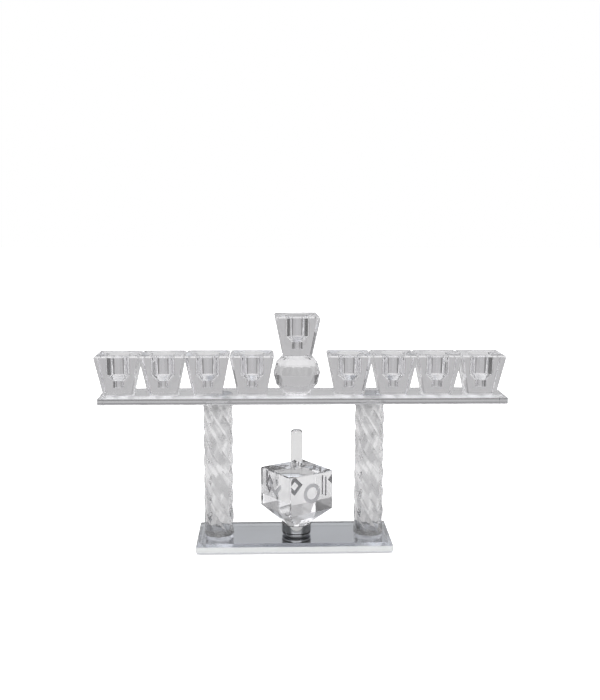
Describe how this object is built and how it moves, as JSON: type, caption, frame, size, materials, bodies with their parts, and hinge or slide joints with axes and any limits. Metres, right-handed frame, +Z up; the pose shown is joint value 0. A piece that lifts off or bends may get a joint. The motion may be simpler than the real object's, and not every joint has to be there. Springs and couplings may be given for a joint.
{
  "type": "menorah",
  "caption": "Crystal Hanukkah candle holder: a row of square cups and a raised shamash cup on a glass shelf, carried by twisted columns over a mirrored base with a turning dreidel.",
  "frame": {"origin": "on the table, under the middle of the overall width", "axes": "+X to the right along the row of cups, +Y from the front to the back, +Z up"},
  "size_m": [0.3432, 0.065, 0.1981],
  "materials": {
    "crystal": "polished clear lead-free crystal with bevelled edges",
    "mirror_backing": "silvered on the back, bluish grey",
    "chrome": "bright turned and plated",
    "nylon": "natural moulded",
    "clear_vinyl": "soft clear self-adhesive pad"
  },
  "bodies": {
    "frame": {"base_plate": "crystal", "left_column": "crystal", "right_column": "crystal", "shelf": "crystal", "candle_cup_1": "crystal", "candle_cup_2": "crystal", "candle_cup_3": "crystal", "candle_cup_4": "crystal", "candle_cup_5": "crystal", "candle_cup_6": "crystal", "candle_cup_7": "crystal", "candle_cup_8": "crystal", "shamash_ball": "crystal", "shamash_cup": "crystal", "base_mirror": "mirror_backing", "foot_front_left": "clear_vinyl", "foot_front_right": "clear_vinyl", "foot_back_left": "clear_vinyl", "foot_back_right": "clear_vinyl", "spinner_turntable": "chrome", "spinner_pin": "chrome", "spinner_washer": "nylon"},
    "dreidel": {"spinner_cup": "chrome", "dreidel_body": "crystal", "dreidel_stem": "crystal"}
  },
  "joints": [
    {"name": "dreidel_spin", "type": "hinge", "parent": "frame", "child": "dreidel", "pos_m": [-0.0038, 0, 0.0106], "axis": [0, 0, 1], "continuous": true}
  ]
}
